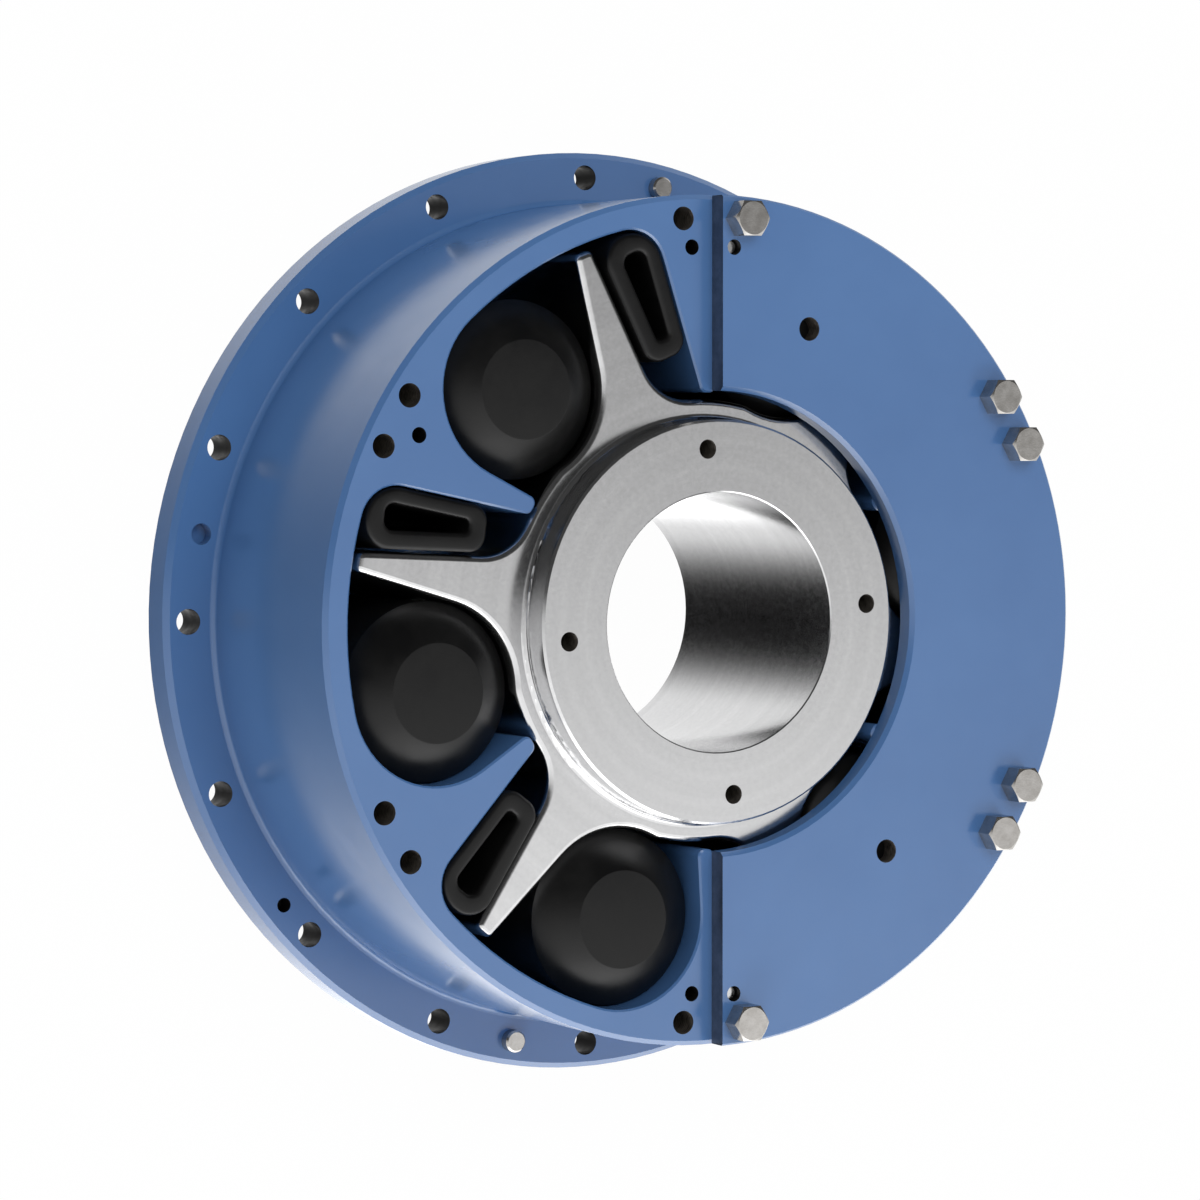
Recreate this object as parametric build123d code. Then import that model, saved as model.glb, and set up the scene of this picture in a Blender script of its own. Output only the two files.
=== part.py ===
from build123d import *
from math import acos, asin, cos, degrees, radians, sin, sqrt, tan
import os

# Flange coupling with rubber blocks in compression, half of its front cover fitted.
# Z is the shaft axis and points to the cover side. Z = 0 is the back face of the flange.

# Pitch of the vanes, blades and blocks, and the angle of the first vane
sector_count = 6
sector_pitch = 360 / sector_count
first_vane = 90.0

# Outer member: flange, barrel, pockets and rear web in one casting
pocket_radius = 208.0
barrel_wall = 13.5
flange_ledge = 28.5
flange_thickness = 22.0
flange_front_chamfer = 3.0
flange_back_chamfer = 1.5
barrel_edge_chamfer = 2.5
barrel_root_fillet = 3.0
pocket_depth = 140.0
web_thickness = 12.0
web_hub_gap = 10.0
pocket_edge_chamfer = 1.0

# Vane, measured at its tip, and the corner behind it
vane_tip_gap = 3.5
vane_rebound_half_width = 3.2
vane_drive_half_width = 5.4
vane_lean = 18.2
vane_tip_fillet = 3.9
rebound_corner_radius = 20.0

# Rubber blocks
drive_block_radius = 46.0
drive_block_end_radius = 25.8
drive_block_cone = 15.0
drive_block_edge_radius = 2.0
drive_block_angle = 41.7
drive_pocket_gap = 1.0
block_cover_gap = 0.3
scallop_gap = 0.9
rebound_vane_gap = 0.9
rebound_blade_gap = 1.8
rebound_wall_gap = 2.6
rebound_tip_setback = 15.5
rebound_inner_fillet = 9.0
rebound_blade_fillet = 14.0
rebound_edge_chamfer = 1.0
slot_vane_wall = 8.6
slot_blade_wall = 9.4
slot_end_wall = 10.5
slot_outer_wall = 10.8
slot_inner_fillet = 2.6
slot_outer_fillet = 5.0
block_fillet_share = 0.98

# Inner member: hub with tapered blades
hub_wall = 37.5
bore_chamfer = 0.6
hub_step = 10.5
hub_back_gap = 3.3
hub_edge_chamfer = 1.2
hub_root_fillet = 3.0
hub_proud_height = 2.3
scallop_depth = 1.4
blade_angle = 20.3
blade_tip_gap = 5.0
blade_tip_width = 10.2
blade_tip_corner_spare = 0.3
blade_root_fillet = 28.0
scallop_blend_radius = 15.0
blade_face_gap = 5.0
blade_edge_fillet = 3.2
blade_back_chamfer = 1.5
pull_hole_inset = 15.0
pull_hole_radius = 5.0
pull_hole_depth = 25.0
pull_hole_count = 4
pull_hole_angle = 5.0

# Cover plate, one half of two
cover_thickness = 11.0
cover_edge_setback = 0.5
cover_hub_gap = 15.0
cover_split_offset = 2.65
cover_outer_chamfer = 1.0
cover_inner_chamfer = 2.2
jack_hole_radius = 6.2
jack_hole_inset = 59.0
jack_hole_angles = (70.0, 310.0)

# Fasteners and pins
cover_bolt_inset = 12.2
cover_bolt_spread = 4.0
bolt_radius = 6.0
bolt_length = 30.0
bolt_hole_clearance = 0.75
bolt_tap_clearance = 0.15
bolt_end_chamfer = 1.0
bolt_tap_spare_depth = 6.0
bolt_head_width = 18.0
bolt_head_height = 11.0
bolt_head_chamfer_angle = 30.0
bolt_head_face_share = 0.95
dowel_radius = 4.0
dowel_length = 24.0
dowel_inset = 27.2
dowel_spread = 2.8
dowel_chamfer = 0.8
dowel_sunk_depth = 4.5
dowel_hole_spare_depth = 3.0
pin_clearance = 0.05
flange_bolt_count = 16
flange_hole_inset = 13.5
flange_hole_radius = 6.75
flange_pin_radius = 6.0
flange_pin_proud_height = 6.0
flange_pin_back_gap = 0.5
flange_pin_chamfer = 1.0
flange_pin_angle = 78.75
plug_hole_inset = 16.6
plug_hole_radius = 5.6
plug_hole_depth = 8.0
plug_hole_angle = 168.75
locating_hole_radius = 3.9
locating_hole_depth = 12.0
locating_hole_angle = 219.6

# Reach within which an edge or corner counts as lying at a place
tolerance = 0.01

# Levels along the axis
face_level = web_thickness + pocket_depth
cover_level = face_level + cover_thickness
hub_front = cover_level + hub_proud_height
hub_back = web_thickness + hub_back_gap
hub_length = hub_front - hub_back
blade_front = face_level - blade_face_gap
block_length = pocket_depth - block_cover_gap
flange_pin_top = flange_thickness + flange_pin_proud_height
dowel_top = cover_level - dowel_sunk_depth

# Radii and circles, and the tip fillet that leaves room for the edge fillet
barrel_radius = pocket_radius + barrel_wall
flange_radius = barrel_radius + flange_ledge
flange_bolt_circle = flange_radius - flange_hole_inset
plug_hole_circle = flange_radius - plug_hole_inset
cover_radius = barrel_radius - cover_edge_setback
cover_bolt_circle = barrel_radius - cover_bolt_inset
dowel_circle = barrel_radius - dowel_inset
jack_hole_circle = cover_radius - jack_hole_inset
drive_pocket_radius = drive_block_radius + drive_pocket_gap
block_circle = pocket_radius - drive_pocket_radius
scallop_radius = drive_block_radius + scallop_gap
body_radius = block_circle - scallop_radius + scallop_depth
vane_tip_radius = body_radius + vane_tip_gap
hub_radius = body_radius - hub_step
web_opening_radius = hub_radius + web_hub_gap
cover_opening_radius = hub_radius + cover_hub_gap
bore_radius = hub_radius - hub_wall
pull_hole_circle = hub_radius - pull_hole_inset
blade_tip_radius = pocket_radius - blade_tip_gap
blade_tip_fillet = blade_edge_fillet + blade_tip_corner_spare
rebound_inner_end = vane_tip_radius + rebound_tip_setback

# Angles of the vanes and of the bolts, and of the bolts that the right cover half takes
vane_angles = [first_vane + sector_pitch * k for k in range(sector_count)]
bolt_angles = [vane + side * cover_bolt_spread for vane in vane_angles for side in (-1, 1)]
right_bolt_angles = [angle for angle in bolt_angles if cos(radians(angle)) > 0]

# Angles of the cover halves' dowels, two to the right of the split, and of the flange pins
right_dowel_angles = [first_vane - dowel_spread, first_vane + 180 + dowel_spread]
left_dowel_angles = [first_vane + dowel_spread, first_vane + 180 - dowel_spread, first_vane + sector_pitch]
flange_pin_angles = [flange_pin_angle, flange_pin_angle + 180]


def at(radius, angle, level=0.0):
    """Point at a radius and an angle about the axis."""
    return Vector(radius * cos(radians(angle)), radius * sin(radians(angle)), level)


def turned(vector, angle):
    """Vector turned about the axis."""
    return vector.rotate(Axis.Z, angle)


def left_of(heading):
    """Unit vector square to a heading, on its left."""
    return turned(heading, 90)


def centre_beside(point, heading, offset, radius):
    """Centre that lies offset to the left of a line and at radius from the axis."""
    base = point + left_of(heading) * offset
    along = base.dot(heading)
    return base + heading * (sqrt(along**2 - base.length**2 + radius**2) - along)


def touch_point(point, centre, radius, side):
    """Where the line from a point touches a circle that lies on its left (1) or right (-1)."""
    span = centre - point
    heading = turned(span.normalized(), -side * degrees(asin(radius / span.length)))
    return point + heading * sqrt(span.length**2 - radius**2)


def crossing(point, heading, other_point, other_heading):
    """Where two lines meet."""
    gap = other_point - point
    across = left_of(other_heading)
    return point + heading * (gap.dot(across) / heading.dot(across))


def round_corner(start, centre, end):
    """Arc about a centre, the short way round."""
    radius = (start - centre).length
    middle = centre + ((start - centre) + (end - centre)).normalized() * radius
    return ThreePointArc(start, middle, end)


# The vane of a sector lies at angle 0 and the next one at one pitch
rebound_tip = Vector(sqrt(vane_tip_radius**2 - vane_rebound_half_width**2), vane_rebound_half_width)
rebound_heading = at(1, vane_lean)
drive_tip_reach = sqrt(vane_tip_radius**2 - vane_drive_half_width**2)
next_tip = turned(Vector(drive_tip_reach, -vane_drive_half_width), sector_pitch)
block_centre = at(block_circle, drive_block_angle)
rebound_corner_centre = centre_beside(
    rebound_tip, rebound_heading, rebound_corner_radius, pocket_radius - rebound_corner_radius
)

# The blade's two flanks: one touches the scallop round the drive block, the other mirrors it
blade_half_angle = degrees(asin(blade_tip_width / 2 / blade_tip_radius))
drive_tip = at(blade_tip_radius, blade_angle + blade_half_angle)
back_tip = at(blade_tip_radius, blade_angle - blade_half_angle)
scallop_start = touch_point(drive_tip, block_centre, scallop_radius, -1)
blade_taper = (drive_tip - scallop_start).get_signed_angle(at(1, blade_angle))
back_heading = at(1, blade_angle - blade_taper)


def pocket_outline():
    """Hollow between two vanes: rebound corner, outer wall and drive block seat."""
    corner_start = rebound_corner_centre - left_of(rebound_heading) * rebound_corner_radius
    corner_end = rebound_corner_centre.normalized() * pocket_radius
    seat_start = block_centre.normalized() * pocket_radius
    seat_end = touch_point(next_tip, block_centre, drive_pocket_radius, -1)
    reach = vane_tip_radius - web_opening_radius + vane_tip_fillet
    inner_start = rebound_tip - rebound_heading * reach
    inner_end = next_tip + (next_tip - seat_end).normalized() * reach
    axis = Vector(0, 0)
    return make_face(
        [
            Line(axis, inner_start),
            Line(inner_start, corner_start),
            round_corner(corner_start, rebound_corner_centre, corner_end),
            round_corner(corner_end, axis, seat_start),
            round_corner(seat_start, block_centre, seat_end),
            Line(seat_end, inner_end),
            Line(inner_end, axis),
        ]
    )


def cavity_outline():
    """All pockets joined by the round space inside the vane tips."""
    cavity = Circle(vane_tip_radius) + [Rot(0, 0, angle) * pocket_outline() for angle in vane_angles]
    tips = [v for v in cavity.vertices() if abs(Vector(v).length - vane_tip_radius) < tolerance]
    return fillet(tips, vane_tip_fillet)


def holes(radius, depth, circle, angles, top):
    """Round holes of one depth on one circle, from the top level down."""
    centre_level = top - depth / 2
    return [Pos(*at(circle, angle, centre_level)) * Cylinder(radius, depth) for angle in angles]


def outer_member():
    """Flange, barrel, vanes and rear web."""
    root = barrel_radius + barrel_root_fillet
    profile = make_face(
        [
            Polyline(
                (barrel_radius, flange_thickness + barrel_root_fillet),
                (barrel_radius, face_level - barrel_edge_chamfer),
                (barrel_radius - barrel_edge_chamfer, face_level),
                (0, face_level),
                (0, 0),
                (flange_radius - flange_back_chamfer, 0),
                (flange_radius, flange_back_chamfer),
                (flange_radius, flange_thickness - flange_front_chamfer),
                (flange_radius - flange_front_chamfer, flange_thickness),
                (root, flange_thickness),
            ),
            RadiusArc(
                (root, flange_thickness),
                (barrel_radius, flange_thickness + barrel_root_fillet),
                barrel_root_fillet,
            ),
        ]
    )
    body = revolve(Plane.XZ * profile, Axis.Z)
    body -= Pos(0, 0, web_thickness) * extrude(cavity_outline(), pocket_depth)
    body -= Pos(0, 0, web_thickness / 2) * Cylinder(web_opening_radius, web_thickness)
    front_face = body.faces().sort_by(Axis.Z)[-1]
    body = chamfer(front_face.inner_wires()[0].edges(), pocket_edge_chamfer)
    tap_depth = bolt_length - cover_thickness + bolt_tap_spare_depth
    dowel_depth = dowel_length - cover_thickness + dowel_sunk_depth + dowel_hole_spare_depth
    dowel_angles = right_dowel_angles + left_dowel_angles
    flange_angles = [first_vane + 360 / flange_bolt_count * k for k in range(flange_bolt_count)]
    body -= holes(bolt_radius + bolt_tap_clearance, tap_depth, cover_bolt_circle, bolt_angles, face_level)
    body -= holes(dowel_radius + pin_clearance, dowel_depth, dowel_circle, dowel_angles, face_level)
    body -= holes(
        flange_hole_radius, flange_thickness, flange_bolt_circle, flange_angles, flange_thickness
    )
    body -= holes(
        flange_pin_radius + pin_clearance,
        flange_thickness,
        flange_bolt_circle,
        flange_pin_angles,
        flange_thickness,
    )
    body -= holes(
        plug_hole_radius, plug_hole_depth, plug_hole_circle, [plug_hole_angle], flange_thickness
    )
    body -= holes(
        locating_hole_radius,
        locating_hole_depth,
        flange_bolt_circle,
        [locating_hole_angle],
        flange_thickness,
    )
    return body


def blade_edges():
    """One sector of the inner member's outline, from the root of the blade to the next one."""
    axis = Vector(0, 0)
    root_centre = centre_beside(back_tip, back_heading, -blade_root_fillet, body_radius + blade_root_fillet)
    root_start = root_centre.normalized() * body_radius
    root_end = root_centre + left_of(back_heading) * blade_root_fillet
    ridge_circle = body_radius - scallop_blend_radius
    ridge_reach = scallop_radius + scallop_blend_radius
    ridge_swing = degrees(
        acos((ridge_circle**2 + block_circle**2 - ridge_reach**2) / (2 * ridge_circle * block_circle))
    )
    ridge_centre = at(ridge_circle, drive_block_angle + ridge_swing)
    ridge_start = block_centre + (ridge_centre - block_centre).normalized() * scallop_radius
    ridge_end = ridge_centre.normalized() * body_radius
    return [
        round_corner(root_start, root_centre, root_end),
        Line(root_end, back_tip),
        round_corner(back_tip, axis, drive_tip),
        Line(drive_tip, scallop_start),
        round_corner(scallop_start, block_centre, ridge_start),
        round_corner(ridge_start, ridge_centre, ridge_end),
        round_corner(ridge_end, axis, turned(root_start, sector_pitch)),
    ]


def rings(body, radius, level):
    """Round edges of a body with one radius on one level."""
    return [
        edge
        for edge in body.edges().filter_by(GeomType.CIRCLE)
        if abs(edge.radius - radius) < tolerance and abs(edge.arc_center.Z - level) < tolerance
    ]


def inner_member():
    """Bored hub with six tapered blades."""
    edges = [Rot(0, 0, angle) * edge for angle in vane_angles for edge in blade_edges()]
    outline = make_face(edges)
    tips = [v for v in outline.vertices() if abs(Vector(v).length - blade_tip_radius) < tolerance]
    outline = fillet(tips, blade_tip_fillet)
    blades = Pos(0, 0, hub_back) * extrude(outline, blade_front - hub_back)
    blades = chamfer(blades.edges().group_by(Axis.Z)[0], blade_back_chamfer)
    blades = fillet(blades.edges().group_by(Axis.Z)[-1], blade_edge_fillet)
    hub = Pos(0, 0, (hub_back + hub_front) / 2) * Cylinder(hub_radius, hub_length)
    body = blades + hub
    body = fillet(rings(body, hub_radius, blade_front), hub_root_fillet)
    body = chamfer(rings(body, hub_radius, hub_front), hub_edge_chamfer)
    body -= Pos(0, 0, (hub_back + hub_front) / 2) * Cylinder(bore_radius, hub_length)
    body = chamfer(
        rings(body, bore_radius, hub_front) + rings(body, bore_radius, hub_back), bore_chamfer
    )
    pull_angles = [pull_hole_angle + 360 / pull_hole_count * k for k in range(pull_hole_count)]
    body -= holes(pull_hole_radius, pull_hole_depth, pull_hole_circle, pull_angles, hub_front)
    return body


def drive_block():
    """Round rubber block with coned ends."""
    half = block_length / 2
    profile = Polyline(
        (0, -half),
        (drive_block_end_radius, -half),
        (drive_block_radius, -half + drive_block_cone),
        (drive_block_radius, half - drive_block_cone),
        (drive_block_end_radius, half),
        (0, half),
        close=True,
    )
    section = make_face(profile)
    rim = [v for v in section.vertices() if v.X > drive_block_end_radius / 2]
    section = fillet(rim, drive_block_edge_radius)
    return Pos(*at(block_circle, drive_block_angle, web_thickness + half)) * revolve(
        Plane.XZ * section, Axis.Z
    )


def fitted(fillets, room, corner_angle):
    """Fillets of the two corners of one end, made smaller together where the end is narrow."""
    need = sum(fillets) / tan(radians(corner_angle / 2))
    return [size * min(1, block_fillet_share * room / need) for size in fillets]


def wedge(vane_wall, blade_wall, inner_end, outer_end, inner_fillets, outer_fillets):
    """Tapered outline between the vane's flank and the blade's back, each kept off by a wall."""
    middle = (rebound_heading + back_heading).normalized()
    vane_point = rebound_tip + left_of(rebound_heading) * vane_wall
    blade_point = back_tip - left_of(back_heading) * blade_wall
    square = left_of(middle)
    inner = middle * inner_end
    outer = middle * outer_end
    corners = [
        crossing(vane_point, rebound_heading, inner, square),
        crossing(vane_point, rebound_heading, outer, square),
        crossing(blade_point, back_heading, outer, square),
        crossing(blade_point, back_heading, inner, square),
    ]
    outline = make_face(Polyline(*corners, close=True))
    taper = rebound_heading.get_angle(back_heading)
    inner_sizes = fitted(inner_fillets, (corners[3] - corners[0]).length, 90 + taper / 2)
    outer_sizes = fitted(outer_fillets, (corners[2] - corners[1]).length, 90 - taper / 2)
    for corner, size in zip(corners, [inner_sizes[0], *outer_sizes, inner_sizes[1]]):
        nearest = outline.vertices().sort_by_distance(corner)[0]
        outline = fillet(nearest, size)
    return outline


def rebound_block():
    """Tapered rubber block with a slot through it."""
    middle = (rebound_heading + back_heading).normalized()
    outer_end = rebound_corner_centre.dot(middle) + rebound_corner_radius - rebound_wall_gap
    outer_fillets = (rebound_corner_radius - rebound_wall_gap, rebound_blade_fillet)
    outline = wedge(
        rebound_vane_gap,
        rebound_blade_gap,
        rebound_inner_end,
        outer_end,
        (rebound_inner_fillet, rebound_inner_fillet),
        outer_fillets,
    )
    slot = wedge(
        rebound_vane_gap + slot_vane_wall,
        rebound_blade_gap + slot_blade_wall,
        rebound_inner_end + slot_end_wall,
        outer_end - slot_outer_wall,
        (slot_inner_fillet, slot_inner_fillet),
        (slot_outer_fillet, slot_outer_fillet),
    )
    block = Pos(0, 0, web_thickness) * extrude(outline - slot, block_length)
    return chamfer(block.edges().group_by(Axis.Z)[-1], rebound_edge_chamfer)


def cover_half():
    """Half ring plate that closes the pockets, split beside the upper and lower vanes."""
    ring = Circle(cover_radius) - Circle(cover_opening_radius)
    ring &= Pos(cover_split_offset + cover_radius, 0) * Rectangle(2 * cover_radius, 2 * cover_radius)
    plate = Pos(0, 0, face_level) * extrude(ring, cover_thickness)
    plate = chamfer(rings(plate, cover_radius, cover_level), cover_outer_chamfer)
    plate = chamfer(rings(plate, cover_opening_radius, cover_level), cover_inner_chamfer)
    plate -= holes(
        bolt_radius + bolt_hole_clearance, cover_thickness, cover_bolt_circle, right_bolt_angles, cover_level
    )
    plate -= holes(jack_hole_radius, cover_thickness, jack_hole_circle, jack_hole_angles, cover_level)
    plate -= holes(
        dowel_radius + pin_clearance, cover_thickness, dowel_circle, right_dowel_angles, cover_level
    )
    return plate


def hexagon_bolt():
    """Hexagon head bolt, head resting on level 0 and shank below it."""
    head_radius = bolt_head_width / 2
    face_radius = head_radius * bolt_head_face_share
    skirt_radius = face_radius + bolt_head_height / tan(radians(bolt_head_chamfer_angle))
    head = extrude(RegularPolygon(head_radius, 6, major_radius=False), bolt_head_height)
    head &= Pos(0, 0, bolt_head_height / 2) * Cone(skirt_radius, face_radius, bolt_head_height)
    shank = Pos(0, 0, -bolt_length / 2) * Cylinder(bolt_radius, bolt_length)
    return head + chamfer(shank.edges().group_by(Axis.Z)[0], bolt_end_chamfer)


def pin(radius, bottom, top, edge):
    """Plain round pin with chamfered ends."""
    body = Pos(0, 0, (bottom + top) / 2) * Cylinder(radius, top - bottom)
    return chamfer(body.edges().filter_by(GeomType.CIRCLE), edge)


def save(shape, node):
    """Write one node's file."""
    export_step(shape, f"parts/{node}.step")


os.makedirs("parts", exist_ok=True)
save(outer_member(), "outer_member")
save(inner_member(), "inner_member")
for number, vane in enumerate(vane_angles, 1):
    save(Rot(0, 0, vane) * drive_block(), f"drive_block_{number}")
    save(Rot(0, 0, vane) * rebound_block(), f"rebound_block_{number}")
save(cover_half(), "cover_half")
for number, angle in enumerate(right_bolt_angles, 1):
    save(Pos(*at(cover_bolt_circle, angle, cover_level)) * hexagon_bolt(), f"cover_bolt_{number}")
for number, angle in enumerate(flange_pin_angles, 1):
    place = Pos(*at(flange_bolt_circle, angle))
    save(
        place * pin(flange_pin_radius, flange_pin_back_gap, flange_pin_top, flange_pin_chamfer),
        f"flange_pin_{number}",
    )
for number, angle in enumerate(right_dowel_angles, 1):
    place = Pos(*at(dowel_circle, angle))
    save(
        place * pin(dowel_radius, dowel_top - dowel_length, dowel_top, dowel_chamfer),
        f"cover_dowel_{number}",
    )
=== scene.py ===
import math

import bpy
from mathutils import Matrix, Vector


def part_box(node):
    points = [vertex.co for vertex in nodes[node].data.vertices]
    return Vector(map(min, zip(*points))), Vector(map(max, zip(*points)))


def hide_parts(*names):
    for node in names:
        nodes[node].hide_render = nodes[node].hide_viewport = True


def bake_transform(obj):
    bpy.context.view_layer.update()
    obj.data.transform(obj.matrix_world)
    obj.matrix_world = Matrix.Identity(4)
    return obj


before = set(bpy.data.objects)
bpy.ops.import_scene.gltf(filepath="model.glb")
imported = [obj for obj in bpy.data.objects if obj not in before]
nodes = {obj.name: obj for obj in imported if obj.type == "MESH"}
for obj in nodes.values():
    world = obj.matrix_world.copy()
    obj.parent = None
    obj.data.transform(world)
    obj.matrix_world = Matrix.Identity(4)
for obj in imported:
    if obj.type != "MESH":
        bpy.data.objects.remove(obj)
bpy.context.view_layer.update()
scene = bpy.context.scene
scene.view_settings.view_transform = "Standard"
print("frame loaded:", len(nodes), "CAD nodes")


# small tools for the node trees

def addNode(tree, kind, sockets=None, **settings):
    # sockets: input name or number to a value or to another node's output
    made = tree.nodes.new(kind)
    for name, value in settings.items():
        setattr(made, name, value)
    for name, value in (sockets or {}).items():
        if isinstance(value, bpy.types.NodeSocket):
            tree.links.new(value, made.inputs[name])
        else:
            made.inputs[name].default_value = value
    return made


def addMath(tree, operation, first, second=0.0):
    return addNode(tree, "ShaderNodeMath", {0: first, 1: second}, operation=operation).outputs[0]


def addRange(tree, value, fromLow, fromHigh, toLow, toHigh, curve="LINEAR"):
    sockets = {0: value, 1: fromLow, 2: fromHigh, 3: toLow, 4: toHigh}
    return addNode(tree, "ShaderNodeMapRange", sockets, interpolation_type=curve).outputs[0]


def addMix(tree, kind, share, first, second):
    sockets = {"Factor": share, "A": first, "B": second}
    return addNode(tree, "ShaderNodeMix", sockets, data_type=kind).outputs["Result"]


def addNoise(tree, place, scale, detail=2.0, roughness=0.5):
    sockets = {"Vector": place, "Scale": scale, "Detail": detail, "Roughness": roughness}
    return addNode(tree, "ShaderNodeTexNoise", sockets).outputs["Fac"]


def addBump(tree, height, distance, strength=1.0, under=None):
    # under: the normal of a coarser bump below this one
    sockets = {"Height": height, "Distance": distance, "Strength": strength}
    if under is not None:
        sockets["Normal"] = under
    return addNode(tree, "ShaderNodeBump", sockets).outputs[0]


def mixShaders(tree, share, first, second):
    return addNode(tree, "ShaderNodeMixShader", {0: share, 1: first, 2: second}).outputs[0]


def colourOf(red, green, blue):
    return (red, green, blue, 1.0)


# what the materials have in common

tonePart = (0.35, 0.65)  # the part of a noise over which one tone turns into the other
roughPart = (0.3, 0.7)  # and the part over which the roughness changes


def startMaterial(name):
    # plain principled material, returned with its tree and shader
    material = bpy.data.materials.new(name)
    material.use_nodes = True
    tree = material.node_tree
    return material, tree, tree.nodes["Principled BSDF"]


def objectPlace(tree):
    return addNode(tree, "ShaderNodeTexCoord").outputs["Object"]


def turnedPlace(tree, place):
    # radius and height about the shaft axis, for turned surfaces
    axes = addNode(tree, "ShaderNodeSeparateXYZ", {0: place}).outputs
    squares = [addMath(tree, "POWER", axes[name], 2.0) for name in "XY"]
    radius = addMath(tree, "SQRT", addMath(tree, "ADD", *squares))
    return addNode(tree, "ShaderNodeCombineXYZ", {"X": radius, "Y": axes["Z"]}).outputs[0]


def setTones(tree, shader, noise, dark, light, part=tonePart):
    share = addRange(tree, noise, *part, 0.0, 1.0)
    colour = addMix(tree, "RGBA", share, colourOf(*dark), colourOf(*light))
    tree.links.new(colour, shader.inputs["Base Color"])


def setRoughness(tree, shader, noise, values, part=roughPart):
    tree.links.new(addRange(tree, noise, *part, *values), shader.inputs["Roughness"])


def setNormal(tree, shader, normal):
    tree.links.new(normal, shader.inputs["Normal"])


# materials: each noise has its scale, then its detail and roughness where they aren't the usual ones

bluePaint = {
    "colour": (0.068, 0.160, 0.360),
    "shade": (0.058, 0.142, 0.330),
    "patches": (7.0, 4.0, 0.6),  # where the two tones lie
    "roughness": (0.18, 0.24),
    "gloss": (60.0, 5.0, 0.65),
    "specular": 0.9,
    "peel": (700.0, 1.0),  # ripples of about 1.5 mm
    "peelHeight": 0.000012,
    "cast": (90.0, 3.0),  # slow waviness of the casting under the paint
    "castHeight": 0.00006,
    "castStrength": 0.5,
}


def makeBluePaint(name, settings):
    material, tree, shader = startMaterial(name)
    place = objectPlace(tree)
    patches = addNoise(tree, place, *settings["patches"])
    setTones(tree, shader, patches, settings["shade"], settings["colour"])
    setRoughness(tree, shader, addNoise(tree, place, *settings["gloss"]), settings["roughness"])
    shader.inputs["Specular IOR Level"].default_value = settings["specular"]
    cast = addNoise(tree, place, *settings["cast"])
    waves = addBump(tree, cast, settings["castHeight"], settings["castStrength"])
    peel = addNoise(tree, place, *settings["peel"])
    setNormal(tree, shader, addBump(tree, peel, settings["peelHeight"], under=waves))
    return material


machinedSteel = {
    "colour": (0.66, 0.66, 0.665),
    "shade": (0.58, 0.58, 0.585),
    "roughness": (0.15, 0.21),
    "grain": (420.0, 3.0, 0.7),
    "bands": (120.0, 2.0),  # broad rings of slightly other tone
    "grainShare": 0.5,  # of the tone, the rest follows the bands
    "rings": (900.0, 3.0, 0.7),  # feed marks of the lathe tool, about 1 mm apart
    "ringHeight": 0.000006,
}


def makeMachinedSteel(name, settings):
    material, tree, shader = startMaterial(name)
    place = objectPlace(tree)
    turned = turnedPlace(tree, place)
    grain = addNoise(tree, place, *settings["grain"])
    bands = addNoise(tree, turned, *settings["bands"])
    mottle = addMix(tree, "FLOAT", settings["grainShare"], bands, grain)
    setTones(tree, shader, mottle, settings["shade"], settings["colour"])
    setRoughness(tree, shader, grain, settings["roughness"])
    shader.inputs["Metallic"].default_value = 1.0
    rings = addNoise(tree, turned, *settings["rings"])
    setNormal(tree, shader, addBump(tree, rings, settings["ringHeight"]))
    return material


platedSteel = {
    "colour": (0.48, 0.465, 0.445),
    "shade": (0.37, 0.355, 0.335),
    "roughness": (0.13, 0.21),
    "metallic": 0.9,
    "bloom": (160.0, 4.0, 0.6),  # cloudiness of the plating
    "grain": (1200.0, 2.0),
    "grainHeight": 0.00002,
}
cutSteel = {
    **platedSteel,
    "colour": (0.190, 0.207, 0.237),
    "shade": (0.133, 0.145, 0.167),
    "roughness": (0.28, 0.40),
}


def makePlatedSteel(name, settings):
    material, tree, shader = startMaterial(name)
    place = objectPlace(tree)
    bloom = addNoise(tree, place, *settings["bloom"])
    setTones(tree, shader, bloom, settings["shade"], settings["colour"])
    setRoughness(tree, shader, bloom, settings["roughness"])
    shader.inputs["Metallic"].default_value = settings["metallic"]
    grain = addNoise(tree, place, *settings["grain"])
    setNormal(tree, shader, addBump(tree, grain, settings["grainHeight"]))
    return material


holeWallSteel = {
    "stains": (260.0, 3.0, 0.6),
    "metallic": 0.6,
}
# holes without thread: unpainted steel painted near to black, a painted shade for the shade deep in
# the holes
shadedHoleSteel = {
    **holeWallSteel,
    "colour": (0.030, 0.028, 0.026),
    "shade": (0.014, 0.013, 0.012),
    "roughness": (0.35, 0.55),
}
tappedSteel = {
    **holeWallSteel,
    "colour": (0.220, 0.200, 0.175),
    "shade": (0.080, 0.070, 0.062),
    "roughness": (0.30, 0.50),
    "threadPitch": 0.00175,  # coarse pitch of M12
    "threadHeight": 0.0008,
}


def makeHoleWallSteel(name, settings):
    # unpainted metal inside holes, with a thread where a pitch is set; for holes without thread its
    # colours are set near to black as painted shade
    material, tree, shader = startMaterial(name)
    place = objectPlace(tree)
    stains = addNoise(tree, place, *settings["stains"])
    setTones(tree, shader, stains, settings["shade"], settings["colour"])
    setRoughness(tree, shader, stains, settings["roughness"])
    shader.inputs["Metallic"].default_value = settings["metallic"]
    if "threadPitch" in settings:
        height = addNode(tree, "ShaderNodeSeparateXYZ", {0: place}).outputs["Z"]
        turns = addMath(tree, "DIVIDE", height, settings["threadPitch"])
        crests = addMath(tree, "PINGPONG", turns, 0.5)  # up and down once a turn
        setNormal(tree, shader, addBump(tree, crests, settings["threadHeight"]))
    return material


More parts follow.
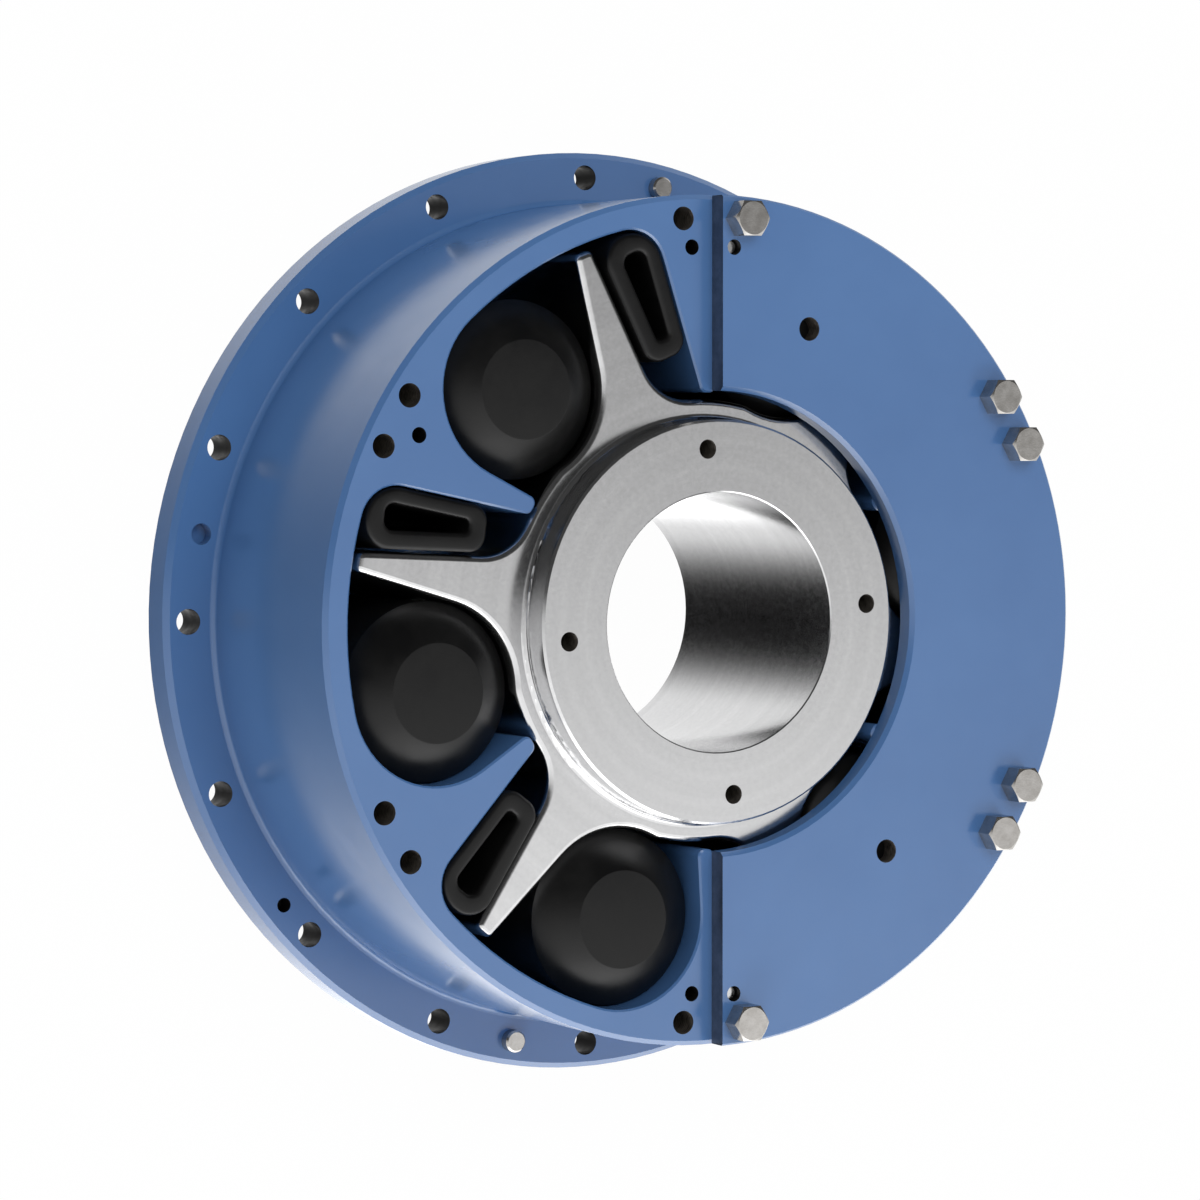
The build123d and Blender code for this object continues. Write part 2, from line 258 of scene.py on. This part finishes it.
blackRubber = {
    "colour": (0.0032, 0.0032, 0.0034),
    "dust": (0.0072, 0.0071, 0.0069),
    "clouds": (38.0, 5.0, 0.65),
    "dustPart": (0.40, 0.75),  # the part of the clouds over which it turns dusty and duller
    "roughness": (0.33, 0.47),
    "specular": 0.30,
    "grain": (1100.0, 2.0, 0.6),
    "grainHeight": 0.00006,
    "grainStrength": 0.6,
}


def makeBlackRubber(name, settings):
    material, tree, shader = startMaterial(name)
    place = objectPlace(tree)
    clouds = addNoise(tree, place, *settings["clouds"])
    setTones(tree, shader, clouds, settings["colour"], settings["dust"], settings["dustPart"])
    setRoughness(tree, shader, clouds, settings["roughness"], settings["dustPart"])
    shader.inputs["Specular IOR Level"].default_value = settings["specular"]
    grain = addNoise(tree, place, *settings["grain"])
    pores = addBump(tree, grain, settings["grainHeight"], settings["grainStrength"])
    setNormal(tree, shader, pores)
    return material


paint = makeBluePaint("bluePaint", bluePaint)
steel = makeMachinedSteel("machinedSteel", machinedSteel)
plated = makePlatedSteel("platedSteel", platedSteel)
cut = makePlatedSteel("cutSteel", cutSteel)
holeShadeMaterial = makeHoleWallSteel("shadedHoleSteel", shadedHoleSteel)
tapped = makeHoleWallSteel("tappedSteel", tappedSteel)
rubber = makeBlackRubber("blackRubber", blackRubber)
print("materials made")


# metal pieces, which keep their CAD shape, with their holes and the cover's cut face

vaneAngles = range(30, 360, 60)
boltAngles = [vane + side for vane in vaneAngles for side in (-4.0, 4.0)]
flangeAngles = [22.5 * step for step in range(16)]
pullAngles = range(5, 365, 90)
topDowels, bottomDowels = (87.2, 92.8), (267.2, 272.8)  # one for each half of the cover

# holes by name: the circle they lie on and the reach of their faces about each axis, both in
# metres, then the angles in degrees and whether they are threaded
outerHoles = {
    "coverBolts": (0.2093, 0.0063, boltAngles, True),
    "dowels": (0.1943, 0.0042, [*topDowels, 150.0, *bottomDowels], False),
    "flangeBolts": (0.2365, 0.0069, flangeAngles, False),
    "locating": (0.2365, 0.0040, [219.6], False),
}
coverHoles = {
    "jacks": (0.1620, 0.0063, [70.0, 310.0], True),
    "dowels": (0.1943, 0.0042, [topDowels[0], bottomDowels[1]], False),
}
hubHoles = {"pulls": (0.0900, 0.0051, pullAngles, True)}

cutFace = {
    "facing": -0.99,  # its normal along X is below this
    "reach": 0.01,  # and it lies no further along X than this
}


def setMaterial(thing, material):
    thing.data.materials.clear()
    thing.data.materials.append(material)


def addSlot(thing, material):
    thing.data.materials.append(material)
    return len(thing.data.materials) - 1


def dressHoles(thing, holes):
    # gives the walls and floors of the holes their own slots, those without thread getting the
    # near-black painted shade
    slots = {False: addSlot(thing, holeShadeMaterial), True: addSlot(thing, tapped)}
    for circle, reach, angles, threaded in holes.values():
        for angle in angles:
            turn = math.radians(angle)
            centre = Vector((math.cos(turn), math.sin(turn))) * circle
            for face in thing.data.polygons:
                spots = [thing.data.vertices[index].co.xy for index in face.vertices]
                if all((spot - centre).length < reach for spot in spots):
                    face.material_index = slots[threaded]


def dressCutFace(thing, settings):
    # where the two halves of the cover meet
    slot = addSlot(thing, cut)
    for face in thing.data.polygons:
        if face.normal.x < settings["facing"] and face.center.x < settings["reach"]:
            face.material_index = slot


for nodeName, thing in nodes.items():
    if nodeName in ("outer_member", "cover_half"):
        setMaterial(thing, paint)
    elif nodeName == "inner_member" or "dowel" in nodeName:
        setMaterial(thing, steel)
    elif "block" not in nodeName:
        setMaterial(thing, plated)
dressHoles(nodes["outer_member"], outerHoles)
dressHoles(nodes["cover_half"], coverHoles)
dressHoles(nodes["inner_member"], hubHoles)
dressCutFace(nodes["cover_half"], cutFace)
print("metal and paint finished")


# rubber blocks, each a soft piece in the place of its CAD solid

smoothAngle = math.radians(50)  # rubber faces that meet at less are shaded as one surface


def deselectAll():
    if bpy.context.object and bpy.context.object.mode != "OBJECT":
        bpy.ops.object.mode_set(mode="OBJECT")
    bpy.ops.object.select_all(action="DESELECT")


def makeActive(thing):
    deselectAll()
    thing.select_set(True)
    bpy.context.view_layer.objects.active = thing


def applyPlace(thing):
    makeActive(thing)
    bpy.ops.object.transform_apply(location=True, rotation=True, scale=True)


def applyModifiers(thing):
    makeActive(thing)
    for modifier in list(thing.modifiers):
        bpy.ops.object.modifier_apply(modifier=modifier.name)


driveBlock = {
    "sides": 96,
    "endRadius": 0.0255,  # flat disc at each end
    "endRound": 0.0012,
    "roundSegments": 3,
    "roundFrom": 22,  # degrees between two faces from which their edge is rounded
    "coneDepth": 0.0147,
    "coneBulge": 0.00084,  # how full the coned shoulder is, outward and towards the end
    "coneSteps": 6,
    "flashHeight": 0.00035,  # mould line round the middle
    "flashWidth": 0.0008,
    "blendReach": 0.040,  # half the width over which it would follow drum and hub
}


def coneProfile(settings, radius):
    # radius and height from the lower end disc up to the full radius
    points = []
    flat, depth = settings["endRadius"], settings["coneDepth"]
    for step in range(settings["coneSteps"] + 1):
        share = step / settings["coneSteps"]
        bulge = settings["coneBulge"] * math.sin(math.pi * share)
        points.append((flat + (radius - flat) * share + bulge, depth * share - bulge))
    return points


def makeDriveBlock(name, nodeName, settings):
    low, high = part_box(nodeName)
    radius = (high.x - low.x) / 2
    length = high.z - low.z
    cone = coneProfile(settings, radius)
    flashHalf = settings["flashWidth"] / 2
    outline = [(reach, rise - length / 2) for reach, rise in cone]
    outline += [(radius, -flashHalf), (radius + settings["flashHeight"], 0.0), (radius, flashHalf)]
    outline += [(reach, length / 2 - rise) for reach, rise in reversed(cone)]
    lastReach, lastHeight = outline[0]
    deselectAll()
    bpy.ops.mesh.primitive_circle_add(
        vertices=settings["sides"], radius=lastReach, fill_type="NGON", location=(0, 0, lastHeight)
    )
    block = bpy.context.object
    block.name = name
    applyPlace(block)
    bpy.ops.object.mode_set(mode="EDIT")
    bpy.ops.mesh.select_all(action="SELECT")
    bpy.ops.mesh.flip_normals()  # the first disc is the underside
    for reach, height in outline[1:]:
        grow = reach / lastReach
        bpy.ops.mesh.extrude_region_move(TRANSFORM_OT_translate={"value": (0, 0, height - lastHeight)})
        bpy.ops.transform.resize(value=(grow, grow, 1), center_override=(0, 0, height))
        lastReach, lastHeight = reach, height
    bpy.ops.mesh.select_all(action="SELECT")
    bpy.ops.mesh.normals_make_consistent(inside=False)
    bpy.ops.object.mode_set(mode="OBJECT")
    rounding = block.modifiers.new("rounding", "BEVEL")
    rounding.width = settings["endRound"]
    rounding.segments = settings["roundSegments"]
    rounding.limit_method = "ANGLE"
    rounding.angle_limit = math.radians(settings["roundFrom"])
    applyModifiers(block)
    block.location = (low + high) / 2
    applyPlace(block)
    bpy.ops.object.shade_smooth_by_angle(angle=smoothAngle)
    return block


reboundBlock = {
    "rimRound": 0.0024,
    "rimSteps": 5,
    "endFacing": 0.9,  # an end's normal is along Z by more than this
    "mergeReach": 1e-6,  # joins the corners of the loose CAD triangles
    "blendReach": 0.016,  # half the width over which it would follow drum and hub
}


def roundRim(settings):
    # the selected end moves out and narrows along a quarter circle
    radius, steps = settings["rimRound"], settings["rimSteps"]
    inset, rise = 0.0, 0.0
    for step in range(1, steps + 1):
        turn = math.pi / 2 * step / steps
        nextInset, nextRise = radius * (1 - math.cos(turn)), radius * math.sin(turn)
        bpy.ops.mesh.inset(thickness=nextInset - inset, depth=nextRise - rise, use_even_offset=True)
        inset, rise = nextInset, nextRise


def makeReboundBlock(name, nodeName, settings):
    # the underside of a copy of the CAD block, drawn up to its height again with rounded rims
    low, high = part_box(nodeName)
    radius = settings["rimRound"]
    straight = high.z - low.z - 2 * radius
    block = bpy.data.objects.new(name, nodes[nodeName].data.copy())
    scene.collection.objects.link(block)
    makeActive(block)
    bpy.ops.object.mode_set(mode="EDIT")
    bpy.ops.mesh.select_all(action="SELECT")
    bpy.ops.mesh.remove_doubles(threshold=settings["mergeReach"])
    bpy.ops.mesh.select_all(action="DESELECT")
    bpy.ops.mesh.select_mode(type="FACE")
    bpy.ops.object.mode_set(mode="OBJECT")
    for face in block.data.polygons:
        face.select = face.normal.z > -settings["endFacing"]
    bpy.ops.object.mode_set(mode="EDIT")
    bpy.ops.mesh.delete(type="FACE")
    bpy.ops.mesh.select_all(action="SELECT")
    bpy.ops.transform.translate(value=(0, 0, radius))
    bpy.ops.mesh.extrude_region_move(TRANSFORM_OT_translate={"value": (0, 0, straight)})
    bpy.ops.mesh.select_all(action="SELECT")
    bpy.ops.mesh.normals_make_consistent(inside=False)
    for side in (-1, 1):
        bpy.ops.mesh.select_all(action="DESELECT")
        bpy.ops.object.mode_set(mode="OBJECT")
        for face in block.data.polygons:
            face.select = face.normal.z * side > settings["endFacing"]
        bpy.ops.object.mode_set(mode="EDIT")
        roundRim(settings)
    bpy.ops.object.mode_set(mode="OBJECT")
    bpy.ops.object.shade_smooth_by_angle(angle=smoothAngle)
    return block


blockKinds = (
    # kind, maker, settings, and which way round its blade lies: 1 is against the clock
    ("drive", makeDriveBlock, driveBlock, -1),
    ("rebound", makeReboundBlock, reboundBlock, 1),
)
for number in range(1, len(vaneAngles) + 1):
    for kind, make, settings, side in blockKinds:
        nodeName = f"{kind}_block_{number}"
        block = make(f"{kind}_rubber_{number}", nodeName, settings)
        setMaterial(block, rubber)
        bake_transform(block)
        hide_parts(nodeName)
print("rubber blocks made")


# floor, light and camera

studio = {
    "floorSize": 14.0,
    "floorShade": 0.02,  # how much of the lit floor shows in its white
    "floorGrey": 0.8,
    "floorRoughness": 0.9,
}


def makeFloor(settings):
    # nearly white to the camera, matt grey to the light, and clear to reflections
    deselectAll()
    bpy.ops.mesh.primitive_plane_add(size=settings["floorSize"], location=(0, 0, 0))
    floor = bpy.context.object
    floor.name = "studio_floor"
    material, tree, shader = startMaterial("studioFloor")
    grey = settings["floorGrey"]
    shader.inputs["Base Color"].default_value = colourOf(grey, grey, grey)
    shader.inputs["Roughness"].default_value = settings["floorRoughness"]
    shader.inputs["Specular IOR Level"].default_value = 0.0
    lit = shader.outputs[0]
    white = addNode(tree, "ShaderNodeEmission", {"Strength": 1.0}).outputs[0]
    clear = addNode(tree, "ShaderNodeBsdfTransparent").outputs[0]
    path = addNode(tree, "ShaderNodeLightPath").outputs
    toCamera = mixShaders(tree, settings["floorShade"], white, lit)
    seen = mixShaders(tree, path["Is Camera Ray"], lit, toCamera)
    final = mixShaders(tree, path["Is Glossy Ray"], seen, clear)
    tree.links.new(final, tree.nodes["Material Output"].inputs["Surface"])
    setMaterial(floor, material)


room = {
    "ambient": 0.50,  # even light on all matt surfaces
    # the room in reflections: from and to along one axis of the direction, and the light at each
    # front is -Y, left is -X
    "lowAcross": (-0.50, -0.05, 0.0, 1.08),  # lower room along X, dark at the left
    "cornerAcross": (0.0, 0.3, 0.0, 1.3),  # added to it along X, at the right
    "cornerFront": (-0.05, -0.35, 0.0, 1.0),  # and only at the front, along Y
    "highFront": (-0.15, 0.01, 1.35, 0.50),  # upper room along Y, brighter at the front
    "leftFront": (-0.40, 0.10, 1.35, 0.65),  # the same at its left
    "highLeft": (0.2, -0.5, 0.0, 1.0),  # share of the left along X
    "backDim": (0.0, 0.20, 1.0, 0.10),  # upper room times this along Y, dark at the back
    "frontGlow": (-0.65, -0.92, 1.0, 2.8),  # and times this, bright far at the front
    "lowToHigh": (-0.35, 0.10, 0.0, 1.0),  # share of the upper room along Z
}


def makeWorld(settings):
    # white to the camera, an even light on matt surfaces, and the room to reflections
    world = bpy.data.worlds.new("studio")
    world.use_nodes = True
    tree = world.node_tree
    tree.nodes.clear()
    direction = addNode(tree, "ShaderNodeTexCoord").outputs["Generated"]
    axes = addNode(tree, "ShaderNodeSeparateXYZ", {0: direction}).outputs

    def along(axis, name, curve="LINEAR"):
        return addRange(tree, axes[axis], *settings[name], curve)

    corner = addMath(tree, "MULTIPLY", along("X", "cornerAcross"), along("Y", "cornerFront"))
    low = addMath(tree, "ADD", along("X", "lowAcross", "SMOOTHSTEP"), corner)
    left = along("X", "highLeft", "SMOOTHSTEP")
    sides = addMix(tree, "FLOAT", left, along("Y", "highFront"), along("Y", "leftFront"))
    shades = addMath(tree, "MULTIPLY", along("Y", "frontGlow"), along("Y", "backDim", "SMOOTHSTEP"))
    high = addMath(tree, "MULTIPLY", sides, shades)
    reflected = addMix(tree, "FLOAT", along("Z", "lowToHigh", "SMOOTHSTEP"), low, high)

    def light(strength):
        sockets = {"Color": colourOf(1, 1, 1), "Strength": strength}
        return addNode(tree, "ShaderNodeBackground", sockets).outputs[0]

    path = addNode(tree, "ShaderNodeLightPath").outputs
    lit = mixShaders(tree, path["Is Glossy Ray"], light(settings["ambient"]), light(reflected))
    final = mixShaders(tree, path["Is Camera Ray"], lit, light(1.0))
    output = addNode(tree, "ShaderNodeOutputWorld")
    tree.links.new(final, output.inputs["Surface"])
    scene.world = world


lampAim = Vector((0, 0, 0.1))  # near the middle of the coupling
lamps = {
    "key": {"place": (1.2, -1.3, 1.9), "size": 0.9, "power": 11.5},
    "fill": {"place": (-0.1, 1.0, 2.3), "size": 1.4, "power": 28.0},
    "low": {"place": (-0.7, -1.6, 0.5), "size": 1.0, "power": 11.0},
}


def makeLamp(name, settings):
    lamp = bpy.data.objects.new(name, bpy.data.lights.new(name, "AREA"))
    lamp.data.size = settings["size"]
    lamp.data.energy = settings["power"]
    lamp.visible_glossy = False  # the world alone gives the reflections
    lamp.location = settings["place"]
    beam = lampAim - Vector(settings["place"])
    lamp.rotation_euler = beam.to_track_quat("-Z", "Y").to_euler()
    scene.collection.objects.link(lamp)


camera = {
    "place": (-1.16252, 0.10333, 2.09047),
    "turn": (-2.32054, -29.53412, -0.03204),  # degrees about X, Y and Z
    "lens": 130.392,  # millimetres, as the sensor
    "sensorWidth": 36.0,
    "clipEnd": 50.0,
}


def makeCamera(settings):
    made = bpy.data.objects.new("camera", bpy.data.cameras.new("camera"))
    made.data.lens = settings["lens"]
    made.data.sensor_width = settings["sensorWidth"]
    made.data.clip_end = settings["clipEnd"]
    made.location = settings["place"]
    made.rotation_euler = [math.radians(angle) for angle in settings["turn"]]
    scene.collection.objects.link(made)
    scene.camera = made


makeFloor(studio)
makeWorld(room)
for lampName, lampSettings in lamps.items():
    makeLamp(lampName, lampSettings)
makeCamera(camera)
print("studio ready")
